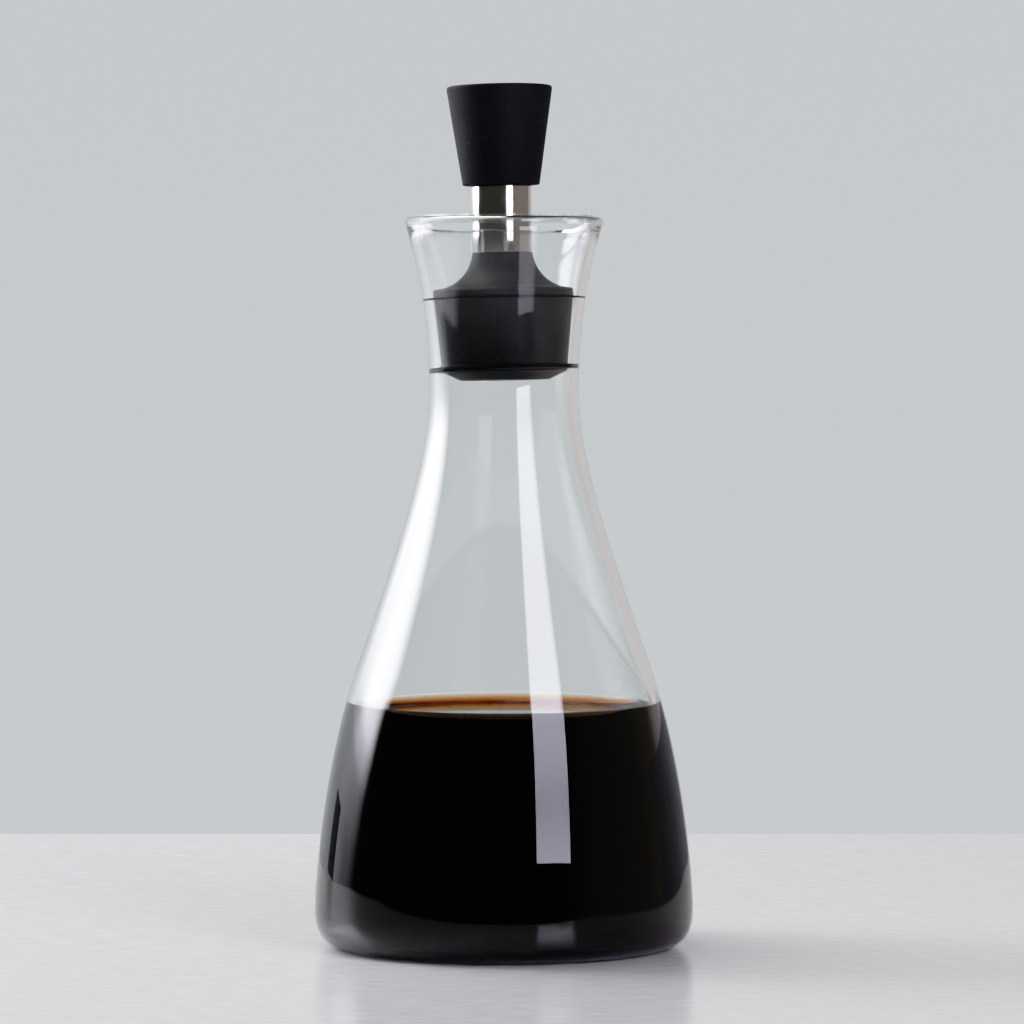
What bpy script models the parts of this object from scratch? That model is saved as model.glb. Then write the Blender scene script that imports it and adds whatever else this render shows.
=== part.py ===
"""A stoppered glass oil cruet, part full of a dark liquid.

Metres, +Z up. The origin is on the table, under the middle of the foot. The front is -Y.
The carafe is blown glass of one piece. The stopper is a soft plug with two sealing fins, a steel
stem and a tapered knob, and it leans a little in the neck, as one pushed in by hand does.
"""

import math

import bmesh
import bpy
from mathutils import Matrix, Vector
from mathutils.geometry import interpolate_bezier

# Carafe: its side is one flowing line through four rings, from the foot up to the lip.
FOOT_RADIUS = 0.0487
FOOT_FLAT_RADIUS = 0.0399
FOOT_HEIGHT = 0.0095
FOOT_FULLNESS = 0.69
FOOT_REACH = 0.0094
HIP_RADIUS = 0.0380
HIP_HEIGHT = 0.0710
HIP_SLOPE = math.radians(19.2)
HIP_REACH_DOWN = 0.0234
HIP_REACH_UP = 0.0400
WAIST_RADIUS = 0.0192
WAIST_HEIGHT = 0.1441
WAIST_REACH_DOWN = 0.0173
WAIST_REACH_UP = 0.0136
LIP_RADIUS = 0.0253
LIP_HEIGHT = 0.1853
LIP_SLOPE = math.radians(-17.9)
LIP_REACH = 0.0130

# Glass thickness: even in the wall, thicker in the rounded lip and in the base.
WALL = 0.0022
LIP_BEAD = 0.0015
LIP_BLEND = 0.010
BASE = 0.0035
INNER_CORNER = 0.0065
KICK_RADIUS = 0.0330
KICK_HEIGHT = 0.0012
KICK_TOP_REACH = 0.5
KICK_EDGE_REACH = 0.8

# Liquid: it climbs the glass a little all round.
LEVEL = 0.0608
MENISCUS_HEIGHT = 0.0014
MENISCUS_REACH = 0.0040
MENISCUS_STEEPNESS = 0.25
MENISCUS_FLATNESS = 0.4

# Clearance between pieces that touch.
FIT_GAP = 0.0003

# Stopper, measured along its own axis, which passes through SEAT_HEIGHT on the carafe's axis.
SEAT_HEIGHT = 0.1570
LEAN_LEFT = math.radians(1.1)
LEAN_BACK = math.radians(1.7)
PLUG_UNDERSIDE = 0.1455
PLUG_FLAT_RADIUS = 0.0114
PLUG_LOW_RADIUS = 0.0160
PLUG_LOW_HEIGHT = 0.0022
PLUG_TOP_RADIUS = 0.01805
PLUG_TOP_HEIGHT = 0.0229
PLUG_LEDGE = 0.0005
FIN_THICKNESS = 0.0006
LOW_FIN_HEIGHT = 0.0028
HIGH_FIN_HEIGHT = 0.0206
FIN_DROOP = 0.0012
FIN_ROOT = 0.0001
TRUMPET_LOW_HANDLE = (0.0110, 0.0242)
TRUMPET_HIGH_HANDLE = (0.0082, 0.0286)
TRUMPET_HEIGHT = 0.0328
STEM_RADIUS = 0.0077
STEM_LENGTH = 0.0171
STEM_EDGE = 0.0002
KNOB_LOW_RADIUS = 0.00986
KNOB_TOP_RADIUS = 0.01365
KNOB_HEIGHT = 0.0253
KNOB_LOW_EDGE = 0.0003
KNOB_TOP_EDGE = 0.0007

# Facets round each piece, and steps along each curve of its outline.
CARAFE_FACETS = 56
STOPPER_FACETS = 48
SHARP_ANGLE = math.radians(35)
MERGE_DISTANCE = 1e-6
FLOOR_STEPS = 4
FOOT_STEPS = 5
INNER_CORNER_STEPS = 4
BODY_STEPS = 8
NECK_STEPS = 10
MOUTH_STEPS = 6
BEAD_STEPS = 6
MENISCUS_STEPS = 4
TRUMPET_STEPS = 6
LOW_EDGE_STEPS = 2
TOP_EDGE_STEPS = 3


def arc(centre, radius, start, end, steps):
    """Points of an arc in the (radius, height) plane, with angles in degrees from straight out."""
    points = []
    for i in range(steps + 1):
        angle = math.radians(start + (end - start) * i / steps)
        points.append((centre[0] + radius * math.cos(angle), centre[1] + radius * math.sin(angle)))
    return points


def sweep(start, start_handle, end_handle, end, steps):
    """Points of one Bezier span in the (radius, height) plane."""
    knots = [Vector((r, z, 0)) for r, z in (start, start_handle, end_handle, end)]
    return [(point.x, point.y) for point in interpolate_bezier(*knots, steps + 1)]


def beside(point, slope, reach):
    """The handle that lies reach further up a side that leans in by slope; a negative reach is down it."""
    return (point[0] - math.sin(slope) * reach, point[1] + math.cos(slope) * reach)


def inset(points, depth_at):
    """The line moved inwards, at right angles to itself, by depth_at(height)."""
    moved = []
    for i, (r, z) in enumerate(points):
        before = points[max(i - 1, 0)]
        after = points[min(i + 1, len(points) - 1)]
        along = Vector((after[0] - before[0], after[1] - before[1])).normalized()
        if r == 0:
            along = Vector((1, 0))
        depth = depth_at(z)
        moved.append((r - along.y * depth, z + along.x * depth))
    return moved


def radius_at(points, height):
    """The radius of a rising line of points at a height."""
    for (r0, z0), (r1, z1) in zip(points, points[1:]):
        if z0 <= height <= z1:
            return r0 + (r1 - r0) * (height - z0) / (z1 - z0)
    raise ValueError(height)


def outer_side():
    """The carafe's outer side, rising from the top of the foot's round to the lip."""
    foot = (FOOT_RADIUS, FOOT_HEIGHT)
    hip = (HIP_RADIUS, HIP_HEIGHT)
    waist = (WAIST_RADIUS, WAIST_HEIGHT)
    lip = (LIP_RADIUS, LIP_HEIGHT)
    above_foot = beside(foot, 0, FOOT_REACH)
    below_hip = beside(hip, HIP_SLOPE, -HIP_REACH_DOWN)
    above_hip = beside(hip, HIP_SLOPE, HIP_REACH_UP)
    below_waist = beside(waist, 0, -WAIST_REACH_DOWN)
    above_waist = beside(waist, 0, WAIST_REACH_UP)
    below_lip = beside(lip, LIP_SLOPE, -LIP_REACH)
    body = sweep(foot, above_foot, below_hip, hip, BODY_STEPS)
    neck = sweep(hip, above_hip, below_waist, waist, NECK_STEPS)
    mouth = sweep(waist, above_waist, below_lip, lip, MOUTH_STEPS)
    return body + neck[1:] + mouth[1:]


def wall_at(height):
    """Wall thickness, which grows to the bead's width over the last stretch below the lip."""
    near_lip = max(0.0, 1 - (LIP_HEIGHT - height) / LIP_BLEND)
    return WALL + (2 * LIP_BEAD - WALL) * near_lip**2


def floor_line(height, radius):
    """Half of a shallow dome, from its top on the axis out to the flat ring round it."""
    top = (0, height + KICK_HEIGHT)
    top_handle = (KICK_TOP_REACH * radius, top[1])
    edge_handle = (KICK_EDGE_REACH * radius, height)
    return sweep(top, top_handle, edge_handle, (radius, height), FLOOR_STEPS)


def bore():
    """The carafe's inner surface, rising from the middle of its floor to the lip."""
    corner_centre = (FOOT_RADIUS - WALL - INNER_CORNER, BASE + INNER_CORNER)
    corner = arc(corner_centre, INNER_CORNER, -90, 0, INNER_CORNER_STEPS)
    side = [point for point in inset(outer_side(), wall_at) if point[1] > corner[-1][1]]
    return floor_line(BASE, KICK_RADIUS) + corner + side


def carafe_outline():
    width = FOOT_RADIUS - FOOT_FLAT_RADIUS
    flat_handle = (FOOT_FLAT_RADIUS + FOOT_FULLNESS * width, 0)
    side_handle = (FOOT_RADIUS, (1 - FOOT_FULLNESS) * FOOT_HEIGHT)
    foot = sweep((FOOT_FLAT_RADIUS, 0), flat_handle, side_handle, (FOOT_RADIUS, FOOT_HEIGHT), FOOT_STEPS)
    lean = math.degrees(LIP_SLOPE)
    out = Vector((math.cos(LIP_SLOPE), math.sin(LIP_SLOPE)))
    bead_centre = Vector((LIP_RADIUS, LIP_HEIGHT)) - out * LIP_BEAD
    bead = arc(bead_centre, LIP_BEAD, lean, lean + 180, BEAD_STEPS)
    outside = floor_line(0, KICK_RADIUS) + foot + outer_side()[1:-1]
    inside = list(reversed(bore()[:-1]))
    return outside + bead + inside


def liquid_outline():
    lining = inset(bore(), lambda height: FIT_GAP)
    contact = LEVEL + MENISCUS_HEIGHT
    radius = radius_at(lining, contact)
    below = [point for point in lining if point[1] < contact]
    wall_handle = (radius, LEVEL + MENISCUS_STEEPNESS * MENISCUS_HEIGHT)
    level_handle = (radius - MENISCUS_FLATNESS * MENISCUS_REACH, LEVEL)
    inner_edge = (radius - MENISCUS_REACH, LEVEL)
    meniscus = sweep((radius, contact), wall_handle, level_handle, inner_edge, MENISCUS_STEPS)
    return below + meniscus + [(0, LEVEL)]


def plug_side(height):
    """Radius of the plug's tapered side at a height above its underside."""
    rise = (height - PLUG_LOW_HEIGHT) / (PLUG_TOP_HEIGHT - PLUG_LOW_HEIGHT)
    return PLUG_LOW_RADIUS + (PLUG_TOP_RADIUS - PLUG_LOW_RADIUS) * rise


def fin(height, tip_radius):
    """A thin fin that stands out of the plug's side, from its lower face round to its upper face."""
    top = height + FIN_THICKNESS
    return [
        (plug_side(height), height),
        (tip_radius, height),
        (tip_radius, top),
        (plug_side(top), top),
    ]


def plug_outline(low_tip, high_tip):
    rim = PLUG_TOP_HEIGHT + PLUG_LEDGE
    trumpet_foot = (PLUG_TOP_RADIUS - 2 * PLUG_LEDGE, rim)
    trumpet_top = (STEM_RADIUS, TRUMPET_HEIGHT)
    trumpet = sweep(trumpet_foot, TRUMPET_LOW_HANDLE, TRUMPET_HIGH_HANDLE, trumpet_top, TRUMPET_STEPS)
    return [
        (0, 0),
        (PLUG_FLAT_RADIUS, 0),
        (PLUG_LOW_RADIUS, PLUG_LOW_HEIGHT),
        *fin(LOW_FIN_HEIGHT, low_tip),
        *fin(HIGH_FIN_HEIGHT, high_tip),
        (PLUG_TOP_RADIUS, PLUG_TOP_HEIGHT),
        (PLUG_TOP_RADIUS - PLUG_LEDGE, rim),
        *trumpet,
        (0, TRUMPET_HEIGHT),
    ]


def stem_outline():
    length = STEM_LENGTH - 2 * FIT_GAP
    return [
        (0, 0),
        (STEM_RADIUS - STEM_EDGE, 0),
        (STEM_RADIUS, STEM_EDGE),
        (STEM_RADIUS, length - STEM_EDGE),
        (STEM_RADIUS - STEM_EDGE, length),
        (0, length),
    ]


def knob_outline():
    flare = math.degrees(math.atan2(KNOB_TOP_RADIUS - KNOB_LOW_RADIUS, KNOB_HEIGHT))
    low_centre = (KNOB_LOW_RADIUS - KNOB_LOW_EDGE, KNOB_LOW_EDGE)
    top_centre = (KNOB_TOP_RADIUS - KNOB_TOP_EDGE, KNOB_HEIGHT - KNOB_TOP_EDGE)
    low_edge = arc(low_centre, KNOB_LOW_EDGE, -90, -flare, LOW_EDGE_STEPS)
    top_edge = arc(top_centre, KNOB_TOP_EDGE, -flare, 90, TOP_EDGE_STEPS)
    return [(0, 0), *low_edge, *top_edge, (0, KNOB_HEIGHT)]


def turned(name, outline, facets, material):
    """A solid turned about Z from an outline that starts and ends on the axis."""
    mesh = bpy.data.meshes.new(name)
    shape = bmesh.new()
    corners = [shape.verts.new((r, 0, z)) for r, z in outline]
    edges = [shape.edges.new(pair) for pair in zip(corners, corners[1:])]
    turn = dict(cent=(0, 0, 0), axis=(0, 0, 1), angle=2 * math.pi, steps=facets, use_merge=True)
    bmesh.ops.spin(shape, geom=corners + edges, **turn)
    bmesh.ops.remove_doubles(shape, verts=shape.verts, dist=MERGE_DISTANCE)
    bmesh.ops.recalc_face_normals(shape, faces=shape.faces)
    shape.to_mesh(mesh)
    shape.free()
    mesh.shade_smooth()
    mesh.set_sharp_from_angle(angle=SHARP_ANGLE)
    mesh.materials.append(material)
    solid = bpy.data.objects.new(name, mesh)
    bpy.context.collection.objects.link(solid)
    return solid


def finish(name, colour, roughness, metallic=0.0, transmission=0.0, ior=1.5):
    """A Principled material; colour is linear RGB."""
    material = bpy.data.materials.new(name)
    material.use_nodes = True
    shader = material.node_tree.nodes["Principled BSDF"]
    shader.inputs["Base Color"].default_value = (*colour, 1)
    shader.inputs["Roughness"].default_value = roughness
    shader.inputs["Metallic"].default_value = metallic
    shader.inputs["Transmission Weight"].default_value = transmission
    shader.inputs["IOR"].default_value = ior
    material.diffuse_color = (*colour, 1)
    return material


def press_fins(plug, place, walls):
    """Carries the fins' tips out to the glass all round, and bends the lower one down on the left."""
    back = place.inverted()
    for corner in plug.data.vertices:
        reach = math.hypot(corner.co.x, corner.co.y)
        if reach < plug_side(corner.co.z) + FIN_ROOT or corner.co.z > PLUG_TOP_HEIGHT:
            continue
        at = place @ corner.co
        if corner.co.z < HIGH_FIN_HEIGHT and at.x < 0:
            at.z -= FIN_DROOP * (at.x / reach) ** 2
        radius = radius_at(walls, at.z) - FIT_GAP
        at.xy = at.xy * (radius / at.xy.length)
        corner.co = back @ at


def build():
    for old in list(bpy.data.objects):
        bpy.data.objects.remove(old, do_unlink=True)

    clear_glass = finish("clear_glass", (0.94, 0.97, 0.96), 0.02, transmission=1.0, ior=1.47)
    dark_liquid = finish("dark_liquid", (0.012, 0.005, 0.003), 0.05, ior=1.36)
    black_silicone = finish("black_silicone", (0.018, 0.018, 0.020), 0.42)
    polished_steel = finish("polished_steel", (0.60, 0.58, 0.56), 0.12, metallic=1.0)
    black_plastic = finish("black_plastic", (0.016, 0.016, 0.018), 0.55)

    turned("carafe_glass", carafe_outline(), CARAFE_FACETS, clear_glass)
    turned("liquid", liquid_outline(), CARAFE_FACETS, dark_liquid)

    seat = bpy.data.objects.new("stopper_seat", None)
    seat.location = (0, 0, SEAT_HEIGHT)
    seat.rotation_euler = (-LEAN_BACK, -LEAN_LEFT, 0)
    bpy.context.collection.objects.link(seat)

    walls = bore()
    plug_drop = PLUG_UNDERSIDE - SEAT_HEIGHT
    low_tip = radius_at(walls, PLUG_UNDERSIDE + LOW_FIN_HEIGHT) - FIT_GAP
    high_tip = radius_at(walls, PLUG_UNDERSIDE + HIGH_FIN_HEIGHT) - FIT_GAP
    plug = turned("stopper_plug", plug_outline(low_tip, high_tip), STOPPER_FACETS, black_silicone)
    lean = seat.rotation_euler.to_matrix().to_4x4()
    place = Matrix.Translation(seat.location) @ lean @ Matrix.Translation((0, 0, plug_drop))
    press_fins(plug, place, walls)
    stem = turned("stopper_stem", stem_outline(), STOPPER_FACETS, polished_steel)
    knob = turned("stopper_knob", knob_outline(), STOPPER_FACETS, black_plastic)
    for piece, height in (
        (plug, plug_drop),
        (stem, plug_drop + TRUMPET_HEIGHT + FIT_GAP),
        (knob, plug_drop + TRUMPET_HEIGHT + STEM_LENGTH),
    ):
        piece.parent = seat
        piece.location = (0, 0, height)


build()
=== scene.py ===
"""A stoppered glass oil cruet, part full of dark sauce, on a pale table under soft studio light.

Metres, +Z up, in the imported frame: the origin is on the table under the middle of the foot, and the
front is -Y. Each section makes one piece, with its sizes, mesh, material and frame calls together.
A point of a round piece's profile is (radius, height), and a pattern's Scale is its count to a metre.
"""

import math

import bpy
from mathutils import Matrix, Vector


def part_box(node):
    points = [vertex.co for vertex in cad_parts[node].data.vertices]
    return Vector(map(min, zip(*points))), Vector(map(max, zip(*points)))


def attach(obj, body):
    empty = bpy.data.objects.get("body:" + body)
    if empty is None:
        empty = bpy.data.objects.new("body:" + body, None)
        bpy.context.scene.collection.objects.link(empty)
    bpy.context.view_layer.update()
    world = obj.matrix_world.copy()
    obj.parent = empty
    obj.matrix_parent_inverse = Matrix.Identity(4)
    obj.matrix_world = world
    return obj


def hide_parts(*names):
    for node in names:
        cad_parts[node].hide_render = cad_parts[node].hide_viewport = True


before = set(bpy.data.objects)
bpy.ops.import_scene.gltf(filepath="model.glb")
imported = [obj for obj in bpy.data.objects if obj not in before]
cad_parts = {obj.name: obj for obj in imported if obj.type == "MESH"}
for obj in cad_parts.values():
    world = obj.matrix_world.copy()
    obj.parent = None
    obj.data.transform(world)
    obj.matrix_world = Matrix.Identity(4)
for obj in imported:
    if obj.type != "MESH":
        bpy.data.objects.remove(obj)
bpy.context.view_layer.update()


# --- Carafe -------------------------------------------------------------------------------------
# One piece of clear borosilicate glass, blown in a mould: a broad rounded foot, a conical body, a
# narrow neck and a flared mouth. The flame has melted its lip round, and the foot has a low kick.

foot_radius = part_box("carafe_glass")[1].x
foot_flat_radius = 0.0399
foot_height = 0.0095
foot_fullness = 0.69
foot_reach = 0.0094
hip = (0.0380, 0.0710)
hip_slope = math.radians(19.2)
hip_reach_down = 0.0234
hip_reach_up = 0.0400
waist = (0.0192, 0.1441)
waist_reach_down = 0.0173
waist_reach_up = 0.0136
lip = (0.0253, 0.1853)
lip_slope = math.radians(-17.9)
lip_reach = 0.0130
lip_bead = 0.0015
lip_roundness = 0.98
lip_facets = 7
kick_radius = 0.0330
kick_height = 0.0012
kick_crown = 0.5
kick_side = 0.8
land_reach = 0.002
wall_thickness = 0.0022
lip_blend = 0.0040
base_thickness = 0.0035
base_blend = 0.011
base_fullness = 1.4
carafe_turns = 256
carafe_steps = 20
merge_distance = 0.000002
contact_height = 0.0625


def up_side(point, slope, reach):
    """The point that lies reach further up a side that leans in by slope."""
    return (point[0] - math.sin(slope) * reach, point[1] + math.cos(slope) * reach)


def draw_profile(name, knots, steps):
    """A Bezier line in the XZ plane through knots of (point, handle before, handle after), as edges."""
    bpy.ops.object.select_all(action="DESELECT")
    bpy.ops.curve.primitive_bezier_curve_add(location=(0, 0, 0))
    line = bpy.context.object
    line.name = name
    line.data.resolution_u = steps
    spline = line.data.splines[0]
    spline.bezier_points.add(len(knots) - 2)
    for knot, (point, before, after) in zip(spline.bezier_points, knots):
        knot.handle_left_type = knot.handle_right_type = "FREE"
        knot.co = (point[0], 0, point[1])
        knot.handle_left = (before[0], 0, before[1])
        knot.handle_right = (after[0], 0, after[1])
    bpy.ops.object.convert(target="MESH")
    return bpy.context.object


def spin_round(turns):
    """Turns the active object's profile about Z into a skin of quads, and merges its seam and poles."""
    bpy.ops.object.mode_set(mode="EDIT")
    bpy.ops.mesh.select_all(action="SELECT")
    bpy.ops.mesh.spin(steps=turns, angle=2 * math.pi, center=(0, 0, 0), axis=(0, 0, 1))
    bpy.ops.mesh.select_all(action="SELECT")
    bpy.ops.mesh.remove_doubles(threshold=merge_distance)
    bpy.ops.mesh.normals_make_consistent(inside=False)
    bpy.ops.object.mode_set(mode="OBJECT")


def pick(piece, wanted):
    """Selects in edit mode exactly the faces for which wanted(face) is true."""
    bpy.ops.object.mode_set(mode="EDIT")
    bpy.ops.mesh.select_mode(type="FACE")
    bpy.ops.mesh.select_all(action="DESELECT")
    bpy.ops.object.mode_set(mode="OBJECT")
    for face in piece.data.polygons:
        face.select = wanted(face)
    bpy.ops.object.mode_set(mode="EDIT")


def wall_at(height):
    """Glass thickness: even up the side, and more in the base and just under the lip."""
    near_lip = min(1.0, max(0.0, 1 - (lip[1] - height) / lip_blend))
    near_base = max(0.0, 1 - height / base_blend)
    side = wall_thickness + (2 * lip_bead - wall_thickness) * near_lip**2
    return side + (base_thickness - side) * min(1.0, base_fullness * near_base)


foot_sweep = foot_flat_radius + foot_fullness * (foot_radius - foot_flat_radius)
lip_end = up_side(lip, lip_slope, lip_bead)
carafe_profile = [
    ((0, kick_height), (0, kick_height), (kick_crown * kick_radius, kick_height)),
    ((kick_radius, 0), (kick_side * kick_radius, 0), (kick_radius + land_reach, 0)),
    ((foot_flat_radius, 0), (foot_flat_radius - land_reach, 0), (foot_sweep, 0)),
    (
        (foot_radius, foot_height),
        (foot_radius, (1 - foot_fullness) * foot_height),
        (foot_radius, foot_height + foot_reach),
    ),
    (hip, up_side(hip, hip_slope, -hip_reach_down), up_side(hip, hip_slope, hip_reach_up)),
    (waist, up_side(waist, 0, -waist_reach_down), up_side(waist, 0, waist_reach_up)),
    (lip, up_side(lip, lip_slope, -lip_reach), lip),
    (lip_end, lip_end, lip_end),
]
carafe = draw_profile("carafe_clear_glass", carafe_profile, carafe_steps)
spin_round(carafe_turns)

# The skin is still open, so its faces may all have come out pointing inwards.
side_face = max(carafe.data.polygons, key=lambda face: face.center.x)
if side_face.normal.x < 0:
    carafe.data.flip_normals()

# The skin gets its wall. Material slot 0 is the outside, and the others are the rest of the glass.
bore, mouth_rim, wetted_bore = 1, 2, 3
for _ in range(4):
    carafe.data.materials.append(None)
thickness = carafe.vertex_groups.new(name="thickness")
for point in carafe.data.vertices:
    thickness.add([point.index], wall_at(point.co.z) / base_thickness, "REPLACE")
shell = carafe.modifiers.new("wall", "SOLIDIFY")
shell.thickness = base_thickness
shell.offset = -1
shell.use_even_offset = True
shell.vertex_group = thickness.name
shell.material_offset = bore
shell.material_offset_rim = mouth_rim
bpy.ops.object.modifier_apply(modifier=shell.name)

# The bore is cut round at the sauce's contact line, so that its wetted part can differ.
pick(carafe, lambda face: face.material_index == bore)
bpy.ops.mesh.bisect(plane_co=(0, 0, contact_height), plane_no=(0, 0, 1))
bpy.ops.object.mode_set(mode="OBJECT")
for face in carafe.data.polygons:
    if face.material_index == bore and face.center.z < contact_height:
        face.material_index = wetted_bore

# The square edge of the mouth is melted round.
pick(carafe, lambda face: face.material_index == mouth_rim)
bpy.ops.mesh.bevel(offset=lip_roundness * lip_bead, segments=lip_facets, profile=0.5, affect="EDGES")
bpy.ops.object.mode_set(mode="OBJECT")

bore_faces = [face for face in carafe.data.polygons if face.material_index in (bore, wetted_bore)]
bore_corners = {index for face in bore_faces for index in face.vertices}
bore_points = [carafe.data.vertices[index].co for index in bore_corners]
bore_line = sorted((point.z, point.x) for point in bore_points if point.x > 0 and abs(point.y) < 1e-6)


def bore_radius(height):
    """Radius of the carafe's bore at a height above the table."""
    for (z0, r0), (z1, r1) in zip(bore_line, bore_line[1:]):
        if z0 <= height <= z1:
            return r0 + (r1 - r0) * (height - z0) / max(z1 - z0, 1e-9)
    raise ValueError(height)


def linear(colour):
    """An sRGB hex colour as linear RGBA."""
    parts = [int(colour[i : i + 2], 16) / 255 for i in (1, 3, 5)]
    return [*(c / 12.92 if c <= 0.04045 else ((c + 0.055) / 1.055) ** 2.4 for c in parts), 1]


def add_node(tree, kind, settings, inputs):
    """Adds a node with its settings; inputs go by socket name or number, as a value or a link."""
    node = tree.nodes.new(kind)
    for name, value in settings.items():
        setattr(node, name, value)
    for name, value in inputs.items():
        if isinstance(value, bpy.types.NodeSocket):
            tree.links.new(value, node.inputs[name])
        else:
            node.inputs[name].default_value = value
    return node


def start_finish(name, **values):
    """A new material with its shader's own sockets set; returns the material, its tree and shader."""
    finish = bpy.data.materials.new(name)
    finish.use_nodes = True
    shader = finish.node_tree.nodes["Principled BSDF"]
    for socket, value in values.items():
        shader.inputs[socket.replace("_", " ")].default_value = value
    return finish, finish.node_tree, shader


# Borosilicate glass, mould-blown: clear, faintly cool, and gently wavy over 20 to 30 mm, so that its
# reflections and what is seen through it bend a little.
clear_glass, tree, shader = start_finish(
    "borosilicate glass, blown clear",
    Base_Color=linear("#FAFCFC"),
    Roughness=0.0,
    IOR=1.47,
    Transmission_Weight=1.0,
)
place = add_node(tree, "ShaderNodeTexCoord", {}, {}).outputs["Object"]
waves = add_node(tree, "ShaderNodeTexNoise", {}, {"Vector": place, "Scale": 40.0, "Detail": 1.0})
relief = add_node(
    tree,
    "ShaderNodeBump",
    {},
    {"Strength": 1.0, "Distance": 0.00002, "Height": waves.outputs["Fac"]},
)
tree.links.new(relief.outputs["Normal"], shader.inputs["Normal"])

# Where sauce wets the glass, the two have nearly one index, so hardly anything reflects there.
wetted_glass = clear_glass.copy()
wetted_glass.name = "borosilicate glass, wetted by sauce"
wetted_glass.node_tree.nodes["Principled BSDF"].inputs["Specular Tint"].default_value = linear("#000000")

for slot in range(len(carafe.data.materials)):
    carafe.data.materials[slot] = wetted_glass if slot == wetted_bore else clear_glass
bpy.ops.object.shade_smooth_by_angle(angle=math.radians(40))
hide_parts("carafe_glass")
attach(carafe, "root")


# --- Sauce --------------------------------------------------------------------------------------
# A dark brown sauce, poured to a third of the carafe's height. Its edge climbs the glass in a thin
# wedge all round, where light gets through and shows its amber colour.

level = 0.0598
meniscus_width = 0.0050
meniscus_decay = 5.2
meniscus_rings = 18
meniscus_crowding = 1.6
middle_rings = (0.66, 0.33)
wall_overlap = 0.00012
open_skin_height = 0.999 * level
open_skin_upright = 0.985

# The sauce's side is a copy of the wetted bore, turned to face the glass and swollen a little into it.
bpy.ops.object.select_all(action="DESELECT")
carafe.select_set(True)
bpy.context.view_layer.objects.active = carafe
bpy.ops.object.duplicate()
sauce = bpy.context.object
sauce.name = "sauce"
pick(sauce, lambda face: face.material_index != wetted_bore)
bpy.ops.mesh.delete(type="FACE")
bpy.ops.mesh.select_all(action="SELECT")
bpy.ops.mesh.flip_normals()
bpy.ops.transform.shrink_fatten(value=wall_overlap)
bpy.ops.mesh.select_mode(type="EDGE")
bpy.ops.mesh.select_all(action="DESELECT")
bpy.ops.mesh.select_non_manifold(extend=False)

# From the contact line the open edge is drawn inwards and down ring by ring, then closed level.
edge_radius = bore_radius(contact_height) + wall_overlap
rise = contact_height - level
left_over = math.exp(-meniscus_decay)
ring = (edge_radius, contact_height)
for step in range(1, meniscus_rings + 1):
    share = (step / meniscus_rings) ** meniscus_crowding
    fade = (math.exp(-meniscus_decay * share) - left_over) / (1 - left_over)
    radius = edge_radius - meniscus_width * share
    height = level + rise * fade
    bpy.ops.mesh.extrude_edges_move()
    bpy.ops.transform.resize(value=(radius / ring[0], radius / ring[0], 1))
    bpy.ops.transform.translate(value=(0, 0, height - ring[1]))
    ring = (radius, height)
for share in middle_rings:
    radius = share * (edge_radius - meniscus_width)
    bpy.ops.mesh.extrude_edges_move()
    bpy.ops.transform.resize(value=(radius / ring[0], radius / ring[0], 1))
    ring = (radius, ring[1])
bpy.ops.mesh.extrude_edges_move()
bpy.ops.mesh.merge(type="CENTER")
bpy.ops.mesh.select_all(action="SELECT")
bpy.ops.mesh.remove_doubles(threshold=0.000001)
bpy.ops.mesh.normals_make_consistent(inside=False)
bpy.ops.object.mode_set(mode="OBJECT")
sauce.vertex_groups.clear()

# Brewed sauce: black in depth, red-brown at a few millimetres and amber in a film. Its skin is calm,
# with swells of under a micrometre over 10 mm. It mirrors where it is open, but not against the glass.
brown_sauce, tree, shader = start_finish(
    "dark brewed sauce",
    Base_Color=linear("#FFFFFF"),
    Roughness=0.0,
    IOR=1.34,
    Transmission_Weight=1.0,
)
open_skin = add_node(tree, "ShaderNodeAttribute", {"attribute_name": "free_surface"}, {})
tree.links.new(open_skin.outputs["Fac"], shader.inputs["Specular Tint"])
depth = add_node(tree, "ShaderNodeVolumeAbsorption", {}, {"Color": linear("#DAAA30"), "Density": 1800.0})
tree.links.new(depth.outputs["Volume"], tree.nodes["Material Output"].inputs["Volume"])
place = add_node(tree, "ShaderNodeTexCoord", {}, {}).outputs["Object"]
swell = add_node(tree, "ShaderNodeTexNoise", {}, {"Vector": place, "Scale": 100.0, "Detail": 1.0})
relief = add_node(
    tree,
    "ShaderNodeBump",
    {},
    {"Strength": 1.0, "Distance": 0.000002, "Height": swell.outputs["Fac"]},
)
tree.links.new(relief.outputs["Normal"], shader.inputs["Normal"])

sauce.data.materials.clear()
sauce.data.materials.append(brown_sauce)
free_surface = sauce.data.attributes.new("free_surface", "FLOAT", "FACE")
for face in sauce.data.polygons:
    face.material_index = 0
    is_open = face.center.z > open_skin_height and face.normal.z > open_skin_upright
    free_surface.data[face.index].value = is_open
bpy.ops.object.shade_smooth_by_angle(angle=math.radians(60))
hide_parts("liquid")
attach(sauce, "root")


# --- Stopper plug -------------------------------------------------------------------------------
# A soft plug of black silicone rubber, moulded in one with its two thin sealing fins and pushed over
# the stem's foot. It leans a little in the neck, and its lower fin has rolled down on the left.

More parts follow.
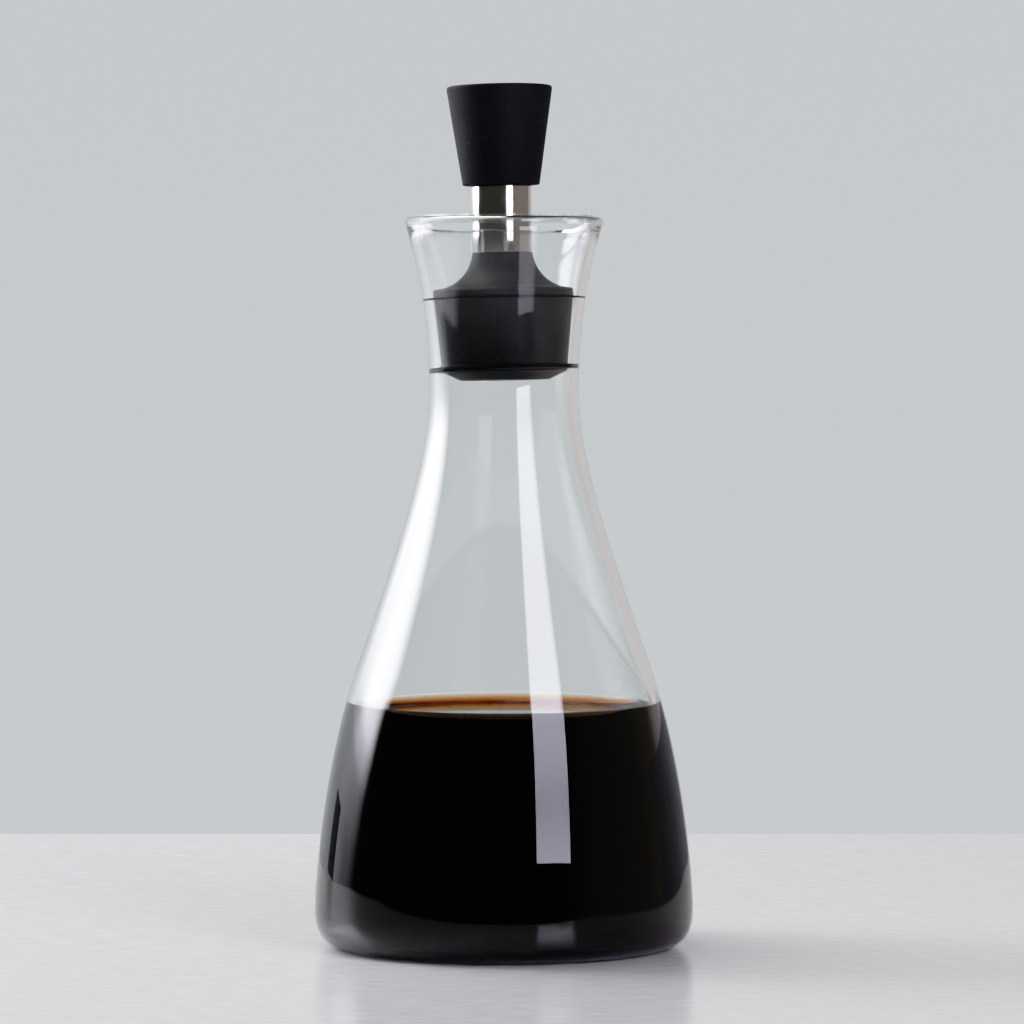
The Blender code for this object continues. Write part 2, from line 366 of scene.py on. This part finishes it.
seat_height = 0.1570
lean_left = math.radians(1.1)
lean_back = math.radians(1.7)
plug_underside = 0.1455
plug_flat_radius = 0.0114
plug_low = (0.0160, 0.0022)
plug_top = (0.01805, 0.0229)
plug_ledge = 0.0005
plug_trumpet = 0.0328
trumpet_sweep_low = (0.0110, 0.0242)
trumpet_sweep_high = (0.0082, 0.0286)
plug_edge = 0.00012
low_fin = 0.0028
low_fin_thickness = 0.0009
low_fin_thinned = 0.3
high_fin = 0.0208
high_fin_thickness = 0.00035
fin_width = 0.0030
fin_root_flare = 0.25
fin_tip_taper = 0.1
fin_clear = 0.001
fin_starts = 0.05
fin_droop = 0.0012
fin_squash = 0.00010
stem_radius = 0.0077
plug_turns = 384
plug_steps = 8
parting_side = math.radians(-95)
parting_height = 0.00007

seat = (
    Matrix.Translation((0, 0, seat_height))
    @ Matrix.Rotation(-lean_left, 4, "Y")
    @ Matrix.Rotation(-lean_back, 4, "X")
)
seat_plug = seat @ Matrix.Translation((0, 0, plug_underside - seat_height))


def corner(radius, height):
    """A sharp knot of a profile."""
    return ((radius, height), (radius, height), (radius, height))


def plug_side(height):
    """Radius of the plug's tapered side at a height above its underside."""
    share = (height - plug_low[1]) / (plug_top[1] - plug_low[1])
    return plug_low[0] + (plug_top[0] - plug_low[0]) * share


def fin(height, thickness):
    """A fin that stands out of the plug's side, tapered to its tip."""
    root = fin_root_flare * thickness
    tip = plug_side(height) + fin_width
    return [
        corner(plug_side(height - root), height - root),
        corner(tip, height + fin_tip_taper * thickness),
        corner(tip, height + (1 - fin_tip_taper) * thickness),
        corner(plug_side(height + thickness + root), height + thickness + root),
    ]


def set_in(piece, placed):
    """Applies a place to a piece's mesh, so that its object stays at the origin."""
    piece.matrix_world = placed
    bpy.ops.object.select_all(action="DESELECT")
    piece.select_set(True)
    bpy.context.view_layer.objects.active = piece
    bpy.ops.object.transform_apply(location=True, rotation=True, scale=True)


shoulder_height = plug_top[1] + plug_ledge
shoulder = (plug_top[0] - 2 * plug_ledge, shoulder_height)
trumpet_end = (stem_radius, plug_trumpet)
plug_profile = [
    corner(0, 0),
    corner(plug_flat_radius, 0),
    corner(*plug_low),
    *fin(low_fin, low_fin_thickness),
    *fin(high_fin, high_fin_thickness),
    corner(*plug_top),
    corner(plug_top[0] - plug_ledge, shoulder_height),
    (shoulder, shoulder, trumpet_sweep_low),
    (trumpet_end, trumpet_sweep_high, trumpet_end),
    corner(0, plug_trumpet),
]
plug = draw_profile("stopper_plug_silicone", plug_profile, plug_steps)
spin_round(plug_turns)
soften = plug.modifiers.new("moulded edges", "BEVEL")
soften.width = plug_edge
soften.segments = 2
soften.limit_method = "ANGLE"
soften.angle_limit = math.radians(24)
bpy.ops.object.modifier_apply(modifier=soften.name)

# The parting ridges of the mould's two halves, front and back, between the two fins.
for point in plug.data.vertices:
    turn = math.atan2(point.co.y, point.co.x) - parting_side
    off = min(abs(math.remainder(turn, 2 * math.pi)), abs(math.remainder(turn + math.pi, 2 * math.pi)))
    on_side = low_fin + fin_clear < point.co.z < high_fin - fin_clear
    if on_side and off < math.pi / plug_turns:
        point.co.xy *= 1 + parting_height / point.co.xy.length

# The fins press into the glass all round. The lower one is stretched thin on the left and rolls down.
unseat = seat_plug.inverted()
low_fin_middle = low_fin + 0.5 * low_fin_thickness
for point in plug.data.vertices:
    reach = point.co.xy.length
    out = min(1.0, (reach - plug_side(point.co.z)) / fin_width)
    if out < fin_starts or point.co.z > plug_top[1]:
        continue
    leftward = 0.5 - 0.5 * point.co.x / reach
    if point.co.z < high_fin - fin_clear:
        thinned = 1 - (1 - low_fin_thinned) * leftward * out
        point.co.z = low_fin_middle + (point.co.z - low_fin_middle) * thinned
        point.co.z -= fin_droop * out * leftward**2
    placed = seat_plug @ point.co
    gap = bore_radius(placed.z) + fin_squash - placed.xy.length
    placed.xy *= 1 + gap * out**3 / placed.xy.length
    point.co = unseat @ placed
set_in(plug, seat_plug)

# A Mix node's colour sockets share their names with its others, so they go by number.
mixed_colour = {"data_type": "RGBA"}
mix_share, mix_first, mix_second, mix_result = 0, 6, 7, 2


def mould_skin(tree, shader, clouds, cloud_tones, specks, speck_size, speck_tone, grain, grain_height):
    """The skin of a black moulding: cloudy tones, pale specks of dust, and a fine grain.

    Clouds, specks and grain give their patterns' settings by socket. Returns the clouds' own socket.
    """
    place = add_node(tree, "ShaderNodeTexCoord", {}, {}).outputs["Object"]
    cloudy = add_node(tree, "ShaderNodeTexNoise", {}, {"Vector": place, **clouds}).outputs["Fac"]
    tone = add_node(tree, "ShaderNodeValToRGB", {}, {"Fac": cloudy})
    for stop, position, colour in zip(tone.color_ramp.elements, (0.3, 0.75), cloud_tones):
        stop.position = position
        stop.color = linear(colour)
    dust = add_node(tree, "ShaderNodeTexVoronoi", {}, {"Vector": place, **specks}).outputs["Distance"]
    speck = add_node(tree, "ShaderNodeMath", {"operation": "LESS_THAN"}, {0: dust, 1: speck_size})
    dusty = add_node(
        tree,
        "ShaderNodeMix",
        mixed_colour,
        {mix_share: speck.outputs[0], mix_first: tone.outputs["Color"], mix_second: linear(speck_tone)},
    )
    tree.links.new(dusty.outputs[mix_result], shader.inputs["Base Color"])
    height = add_node(tree, "ShaderNodeTexNoise", {}, {"Vector": place, **grain}).outputs["Fac"]
    relief = add_node(
        tree, "ShaderNodeBump", {}, {"Strength": 0.6, "Distance": grain_height, "Height": height}
    )
    tree.links.new(relief.outputs["Normal"], shader.inputs["Normal"])
    return cloudy


# Silicone rubber, compression moulded: a soft, deep black with a dull skin of 0.3 mm grain, and dust
# that clings to it as pale specks of 0.2 to 0.4 mm.
black_silicone, tree, shader = start_finish(
    "silicone rubber, moulded black", Roughness=0.5, IOR=1.43, Specular_IOR_Level=0.2
)
mould_skin(
    tree,
    shader,
    clouds={"Scale": 220.0, "Detail": 3.0},
    cloud_tones=("#1E1E20", "#28282A"),
    specks={"Scale": 420.0},
    speck_size=0.075,
    speck_tone="#4A4A49",
    grain={"Scale": 3000.0, "Detail": 2.0},
    grain_height=0.000003,
)

plug.data.materials.clear()
plug.data.materials.append(black_silicone)
bpy.ops.object.shade_smooth_by_angle(angle=math.radians(30))
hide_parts("stopper_plug")
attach(plug, "root")


# --- Stopper stem -------------------------------------------------------------------------------
# A short round stem of polished stainless steel between the plug and the knob, turned and buffed,
# with its ends seated a little way into both.

stem_length = 0.0171
stem_seat = 0.0003
stem_edge = 0.0002
stem_rim = 0.0012
stem_inner_rim = 0.0030
stem_turns = 192

bpy.ops.object.select_all(action="DESELECT")
bpy.ops.mesh.primitive_cylinder_add(
    vertices=stem_turns, radius=stem_radius, depth=stem_length + stem_seat, end_fill_type="NGON"
)
stem = bpy.context.object
stem.name = "stopper_stem_steel"

# Its flat ends get two rings and a middle point, and each face of its side is cut in four.
pick(stem, lambda face: abs(face.normal.z) > 0.9)
bpy.ops.mesh.inset(thickness=stem_rim)
bpy.ops.mesh.inset(thickness=stem_inner_rim)
bpy.ops.mesh.poke()
pick(stem, lambda face: abs(face.normal.z) < 0.1)
bpy.ops.mesh.subdivide(number_cuts=1)
bpy.ops.object.mode_set(mode="OBJECT")
soften = stem.modifiers.new("turned edges", "BEVEL")
soften.width = stem_edge
soften.segments = 3
soften.limit_method = "ANGLE"
bpy.ops.object.modifier_apply(modifier=soften.name)
stem_middle = plug_underside - seat_height + plug_trumpet + 0.5 * stem_length
set_in(stem, seat @ Matrix.Translation((0, 0, stem_middle)))

# Stainless steel, turned and then buffed: a bright neutral mirror, faintly brushed round by lines
# 0.15 mm apart, with a few wipe marks that dull it.
bright_steel, tree, shader = start_finish(
    "stainless steel, buffed", Base_Color=linear("#C4C2BE"), Metallic=1.0
)
place = add_node(tree, "ShaderNodeTexCoord", {}, {}).outputs["Object"]
rings = add_node(tree, "ShaderNodeMapping", {}, {"Vector": place, "Scale": (40.0, 40.0, 6500.0)})
lines = add_node(tree, "ShaderNodeTexNoise", {}, {"Vector": rings.outputs[0], "Scale": 1.0, "Detail": 2.0})
wipes = add_node(tree, "ShaderNodeTexNoise", {}, {"Vector": place, "Scale": 300.0, "Detail": 3.0})
dull = add_node(
    tree,
    "ShaderNodeMapRange",
    {},
    {"Value": wipes.outputs["Fac"], "From Min": 0.35, "From Max": 0.75, "To Min": 0.07, "To Max": 0.16},
)
tree.links.new(dull.outputs["Result"], shader.inputs["Roughness"])
relief = add_node(
    tree,
    "ShaderNodeBump",
    {},
    {"Strength": 0.3, "Distance": 0.00001, "Height": lines.outputs["Fac"]},
)
tree.links.new(relief.outputs["Normal"], shader.inputs["Normal"])

stem.data.materials.append(bright_steel)
bpy.ops.object.shade_smooth_by_angle(angle=math.radians(30))
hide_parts("stopper_stem")
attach(stem, "root")


# --- Stopper knob -------------------------------------------------------------------------------
# A tapered grip of black ABS, injection moulded and pressed onto the stem, with eased edges, a flat
# top and a fine matt grain.

knob_low_radius = 0.00986
knob_top_radius = 0.01365
knob_height = 0.0253
knob_top_edge = 0.0008
knob_low_edge = 0.0003
knob_rim = 0.0040
knob_turns = 192

bpy.ops.object.select_all(action="DESELECT")
bpy.ops.mesh.primitive_cone_add(
    vertices=knob_turns, radius1=knob_low_radius, radius2=knob_top_radius, depth=knob_height
)
knob = bpy.context.object
knob.name = "stopper_knob_plastic"
for end, upward, width, facets in (("top", 1, knob_top_edge, 5), ("low", -1, knob_low_edge, 3)):
    at_end = [v.index for v in knob.data.vertices if v.co.z * upward > 0.3 * knob_height]
    knob.vertex_groups.new(name=end).add(at_end, 1, "REPLACE")
    eased = knob.modifiers.new(end, "BEVEL")
    eased.width = width
    eased.segments = facets
    eased.limit_method = "VGROUP"
    eased.vertex_group = end
    bpy.ops.object.modifier_apply(modifier=eased.name)
pick(knob, lambda face: abs(face.normal.z) > 0.99 and len(face.vertices) > 8)
bpy.ops.mesh.inset(thickness=knob_rim)
bpy.ops.mesh.poke()
bpy.ops.object.mode_set(mode="OBJECT")
knob.vertex_groups.clear()
knob_middle = plug_underside - seat_height + plug_trumpet + stem_length + 0.5 * knob_height
set_in(knob, seat @ Matrix.Translation((0, 0, knob_middle)))

# ABS, injection moulded in a spark-eroded tool: a near-black, faintly warm, with a dull sheen, grain
# of 0.25 mm, and the odd pale speck of dust.
black_plastic, tree, shader = start_finish(
    "ABS, spark-grained black", IOR=1.53, Specular_IOR_Level=0.28
)
clouds = mould_skin(
    tree,
    shader,
    clouds={"Scale": 160.0, "Detail": 4.0},
    cloud_tones=("#100F13", "#18171B"),
    specks={"Scale": 360.0},
    speck_size=0.06,
    speck_tone="#45454A",
    grain={"Scale": 4000.0, "Detail": 1.0},
    grain_height=0.00003,
)
dull = add_node(
    tree,
    "ShaderNodeMapRange",
    {},
    {"Value": clouds, "From Min": 0.3, "From Max": 0.7, "To Min": 0.66, "To Max": 0.78},
)
tree.links.new(dull.outputs["Result"], shader.inputs["Roughness"])

knob.data.materials.append(black_plastic)
bpy.ops.object.shade_smooth_by_angle(angle=math.radians(30))
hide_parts("stopper_knob")
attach(knob, "root")


# --- Table --------------------------------------------------------------------------------------
# A pale laminate table top, pressed with fine streaks. Its far edge is 0.29 m behind the cruet, and
# it reaches further to the left than to the right. It isn't part of the object.

table_depth_behind = 0.29
table_depth_before = 0.20
table_left = 1.0
table_right = 0.25
table_thickness = 0.03
table_clearance = 0.00005

bpy.ops.object.select_all(action="DESELECT")
bpy.ops.mesh.primitive_cube_add(size=1)
table = bpy.context.object
table.name = "table"
table.scale = (table_left + table_right, table_depth_behind + table_depth_before, table_thickness)
table.location = (
    0.5 * (table_right - table_left),
    0.5 * (table_depth_behind - table_depth_before),
    -0.5 * table_thickness - table_clearance,
)
bpy.ops.object.transform_apply(location=True, rotation=True, scale=True)

# White laminate with a satin skin, pressed with short streaks along its length: 9 mm long and 3 mm
# apart, with finer ones between.
pale_laminate, tree, shader = start_finish("laminate, satin white", IOR=1.5)
place = add_node(tree, "ShaderNodeTexCoord", {}, {}).outputs["Object"]
along = add_node(tree, "ShaderNodeMapping", {}, {"Vector": place, "Scale": (110.0, 360.0, 1.0)}).outputs[0]
streaks = add_node(tree, "ShaderNodeTexNoise", {}, {"Vector": along, "Scale": 1.0, "Detail": 4.0})
tone = add_node(tree, "ShaderNodeValToRGB", {}, {"Fac": streaks.outputs["Fac"]})
for stop, position, colour in zip(tone.color_ramp.elements, (0.3, 0.7), ("#E4E3E4", "#EDECED")):
    stop.position = position
    stop.color = linear(colour)
tree.links.new(tone.outputs["Color"], shader.inputs["Base Color"])
dull = add_node(
    tree,
    "ShaderNodeMapRange",
    {},
    {"Value": streaks.outputs["Fac"], "From Min": 0.3, "From Max": 0.7, "To Min": 0.14, "To Max": 0.22},
)
tree.links.new(dull.outputs["Result"], shader.inputs["Roughness"])
relief = add_node(
    tree,
    "ShaderNodeBump",
    {},
    {"Strength": 1.0, "Distance": 0.00003, "Height": streaks.outputs["Fac"]},
)
tree.links.new(relief.outputs["Normal"], shader.inputs["Normal"])
table.data.materials.append(pale_laminate)


# --- Studio -------------------------------------------------------------------------------------
# A pale grey wall stands behind, in a dim, faintly warm room that the glass reflects. A tall soft box
# stands front right over a small low one, a broad one with a graded front stands left and behind, and
# another hangs overhead.

wall_colour = "#C6CBCD"
wall_low_colour = "#CBCFD2"
wall_right_colour = "#CAC6C4"
wall_top_colour = "#7C7C7C"
room_colour = "#4B4A48"
room_right_colour = "#8F8982"
below_colour = "#AFADB1"
wall_narrowing = 0.6
glass_lift = 0.07

studio = bpy.data.worlds.new("studio")
bpy.context.scene.world = studio
studio.use_nodes = True
tree = studio.node_tree
sky = tree.nodes["Background"]
way = add_node(tree, "ShaderNodeTexCoord", {}, {}).outputs["Generated"]
toward = add_node(tree, "ShaderNodeSeparateXYZ", {}, {"Vector": way}).outputs
evenly = {"interpolation_type": "LINEAR"}
softly = {"interpolation_type": "SMOOTHSTEP"}
larger = {"operation": "MAXIMUM"}
multiply = {"operation": "MULTIPLY"}
multiply_add = {"operation": "MULTIPLY_ADD"}


def bring_in(under, over, axis, start, end, manner):
    """Lays a colour over another: none where an axis of the view is at start, and all of it at end."""
    span = {"Value": toward[axis], "From Min": start, "From Max": end}
    share = add_node(tree, "ShaderNodeMapRange", manner, span).outputs[0]
    colours = {mix_share: share, mix_first: under, mix_second: over}
    return add_node(tree, "ShaderNodeMix", mixed_colour, colours).outputs[mix_result]


wall = bring_in(linear(wall_low_colour), linear(wall_colour), "Z", -0.12, 0.15, evenly)
wall = bring_in(wall, linear(wall_right_colour), "X", 0.15, 0.45, softly)
wall = bring_in(wall, linear(wall_top_colour), "Z", 0.14, 0.45, softly)
room = bring_in(linear(room_colour), linear(room_right_colour), "X", 0.55, 0.90, softly)

# The wall is behind, and narrower the further up or down it is.
tilt = add_node(tree, "ShaderNodeMath", {"operation": "ABSOLUTE"}, {0: toward["Z"]}).outputs[0]
narrowed = add_node(
    tree, "ShaderNodeMath", multiply_add, {0: tilt, 1: -wall_narrowing, 2: toward["Y"]}
).outputs[0]
broad = add_node(
    tree, "ShaderNodeMapRange", softly, {"Value": narrowed, "From Min": 0.45, "From Max": 0.68}
).outputs[0]
middle = add_node(
    tree, "ShaderNodeMapRange", softly, {"Value": toward["Y"], "From Min": 0.78, "From Max": 0.97}
).outputs[0]
behind = add_node(tree, "ShaderNodeMath", larger, {0: broad, 1: middle}).outputs[0]
around = add_node(
    tree, "ShaderNodeMix", mixed_colour, {mix_share: behind, mix_first: room, mix_second: wall}
).outputs[mix_result]
around = bring_in(around, linear(below_colour), "Z", -0.12, -0.36, evenly)

# Only reflections find the dim room: an eye looking straight, or just through glass, finds the wall.
# A ray's glossy depth counts its reflections so far.
ray = add_node(tree, "ShaderNodeLightPath", {}, {}).outputs
passes = {0: ray["Is Camera Ray"], 1: ray["Is Transmission Ray"]}
seen = add_node(tree, "ShaderNodeMath", larger, passes).outputs[0]
unmirrored = add_node(
    tree, "ShaderNodeMath", {"operation": "LESS_THAN"}, {0: ray["Glossy Depth"], 1: 1.0}
).outputs[0]
direct = add_node(tree, "ShaderNodeMath", multiply, {0: seen, 1: unmirrored}).outputs[0]
elsewhere = add_node(
    tree, "ShaderNodeMath", {"operation": "SUBTRACT", "use_clamp": True}, {0: 1.0, 1: behind}
).outputs[0]
opened = add_node(tree, "ShaderNodeMath", multiply, {0: direct, 1: elsewhere}).outputs[0]
around = add_node(
    tree,
    "ShaderNodeMix",
    mixed_colour,
    {mix_share: opened, mix_first: around, mix_second: linear(wall_colour)},
).outputs[mix_result]
tree.links.new(around, sky.inputs["Color"])

# Water-clear glass: what it lets through is lifted a little, against the loss at its four faces.
passes = {0: ray["Is Transmission Ray"], 1: unmirrored}
through = add_node(tree, "ShaderNodeMath", multiply, passes).outputs[0]
lift = add_node(tree, "ShaderNodeMath", multiply_add, {0: through, 1: glass_lift, 2: 1.0}).outputs[0]
tree.links.new(lift, sky.inputs["Strength"])


def stand(turn, height, roll=0.0, away=1.0):
    """A place that faces the cruet's axis from away metres off, turned to the camera's right."""
    angle = math.radians(turn)
    return (
        Matrix.Translation((away * math.sin(angle), -away * math.cos(angle), height))
        @ Matrix.Rotation(angle, 4, "Z")
        @ Matrix.Rotation(math.radians(90), 4, "X")
        @ Matrix.Rotation(math.radians(roll), 4, "Z")
    )


def soft_box(name, colour, radiance, size, placed):
    """An area light of an even radiance, which shines along its own -Z."""
    box = bpy.data.lights.new(name, "AREA")
    box.shape = "RECTANGLE"
    box.size, box.size_y = size
    box.color = linear(colour)[:3]
    box.energy = radiance * math.pi * size[0] * size[1]
    lamp = bpy.data.objects.new(name, box)
    lamp.matrix_world = placed
    lamp.visible_camera = False
    bpy.context.scene.collection.objects.link(lamp)
    return box


def grade(box, across, up, slant=0.0, flare=0.0):
    """Dims an area light by stops of (position, share) across and up its front.

    The stops across move by slant from the bottom of the front to its top, and spread by flare.
    """
    box.use_nodes = True
    tree = box.node_tree
    spot = add_node(tree, "ShaderNodeNewGeometry", {}, {}).outputs["Parametric"]
    spot = add_node(tree, "ShaderNodeSeparateXYZ", {}, {"Vector": spot}).outputs
    moved = add_node(tree, "ShaderNodeMath", multiply_add, {0: spot["Y"], 1: -slant, 2: spot["X"]})
    spread = add_node(tree, "ShaderNodeMath", multiply_add, {0: spot["Y"], 1: flare, 2: 1.0})
    sideways = add_node(
        tree, "ShaderNodeMath", {"operation": "DIVIDE"}, {0: moved.outputs[0], 1: spread.outputs[0]}
    )
    shares = []
    for heading, stops in ((sideways.outputs[0], across), (spot["Y"], up)):
        ramp = add_node(tree, "ShaderNodeValToRGB", {}, {"Fac": heading})
        while len(ramp.color_ramp.elements) < len(stops):
            ramp.color_ramp.elements.new(1.0)
        for element, (position, share) in zip(ramp.color_ramp.elements, stops):
            element.position = position
            element.color = (share, share, share, 1)
        shares.append(ramp.outputs["Color"])
    both = add_node(tree, "ShaderNodeMath", multiply, {0: shares[0], 1: shares[1]})
    tree.links.new(both.outputs[0], tree.nodes["Emission"].inputs["Strength"])


# The right box is lit only between two upright edges, which spread towards its top.
right_place = stand(turn=34.0, height=0.535, roll=-2.2)
right_box = soft_box(
    "soft box, front right", "#EFEBFF", radiance=9.6, size=(0.635, 0.80), placed=right_place
)
grade(
    right_box,
    across=((0.0, 0.0), (0.1225, 0.0), (0.1275, 1.0), (0.7045, 1.0), (0.7095, 0.0)),
    up=(
        (0.0, 0.92),
        (0.09, 0.78),
        (0.17, 0.69),
        (0.27, 0.86),
        (0.4, 0.97),
        (0.5, 1.0),
        (0.62, 0.93),
        (0.75, 0.78),
    ),
    slant=-0.0204,
    flare=0.323,
)

# The left box is brightest a little past the middle of its width, and fades to both sides and down.
left_place = stand(turn=-128.0, height=0.43)
left_box = soft_box("soft box, left", "#F3F2FF", radiance=12.0, size=(1.45, 0.94), placed=left_place)
grade(
    left_box,
    across=(
        (0.0, 0.07),
        (0.08, 0.085),
        (0.185, 0.12),
        (0.30, 0.20),
        (0.40, 0.38),
        (0.465, 0.68),
        (0.51, 0.88),
        (0.55, 1.0),
        (0.69, 1.0),
        (0.765, 0.5),
        (0.81, 0.0),
    ),
    up=(
        (0.0, 0.045),
        (0.0426, 0.05),
        (0.10, 0.065),
        (0.129, 0.085),
        (0.167, 0.12),
        (0.192, 0.14),
        (0.213, 0.19),
        (0.234, 0.32),
        (0.255, 0.40),
        (0.276, 0.54),
        (0.311, 0.85),
        (0.349, 1.0),
    ),
    slant=0.23,
)
low_place = stand(turn=32.5, height=-0.26)
soft_box("soft box, low front", "#EFEBFF", radiance=1.4, size=(0.40, 0.35), placed=low_place)
overhead_place = Matrix.Translation((-0.75, 0.5, 1.5))
soft_box("soft box, overhead", "#FFFCF5", radiance=3.0, size=(1.5, 1.5), placed=overhead_place)

# Two low grey cards stand 0.5 m off, behind on the right and on the left, and darken the sauce's edges.
card_distance = 0.5
grey_card = start_finish("card, matt grey", Base_Color=linear("#858585"), Roughness=1.0)[0]
for name, turn, roll, width, bottom, top in (
    ("flag_right", 135.0, -5.0, 0.46, -0.03, 0.092),
    ("flag_left", -129.5, 0.0, 0.09, 0.0, 0.055),
):
    bpy.ops.object.select_all(action="DESELECT")
    bpy.ops.mesh.primitive_plane_add(size=1)
    flag = bpy.context.object
    flag.name = name
    flag_place = stand(turn, 0.5 * (bottom + top), roll, card_distance)
    set_in(flag, flag_place @ Matrix.Diagonal((width, top - bottom, 1, 1)))
    flag.visible_camera = False
    flag.data.materials.append(grey_card)

# A soft shoulder and toe, as film has, given as (scene light, tone): light of 2 goes to white.
brightest = 2.0
all_channels = 3
tones = ((0.02, 0.0065), (0.05, 0.038), (0.1, 0.1), (0.5, 0.5), (0.75, 0.68), (1.0, 0.80), (1.5, 0.94))
scene = bpy.context.scene
scene.view_settings.view_transform = "Standard"
scene.view_settings.use_curve_mapping = True
film = scene.view_settings.curve_mapping
film.white_level = (brightest, brightest, brightest)
for light, tone in tones:
    film.curves[all_channels].points.new(light / brightest, tone)
film.update()

# Light may pass many faces of glass and sauce, one behind the other.
light_bounces = 24
scene.cycles.max_bounces = light_bounces
scene.cycles.transmission_bounces = light_bounces


# --- Camera -------------------------------------------------------------------------------------
# A long lens 1.4 m before the cruet, at three quarters of its height, looking very slightly down.
# Its lens and sensor are in millimetres.

focal_length = 189.84
sensor_width = 36
nearest_view = 0.01
eye_right = 0.00205
eye_before = 1.385
eye_height = 0.16595
eye_pitch = math.radians(90 - 2.248)

camera = bpy.data.cameras.new("camera")
camera.lens = focal_length
camera.sensor_width = sensor_width
camera.clip_start = nearest_view
eye = bpy.data.objects.new("camera", camera)
eye.location = (eye_right, -eye_before, eye_height)
eye.rotation_euler = (eye_pitch, 0, 0)
scene.collection.objects.link(eye)
scene.camera = eye
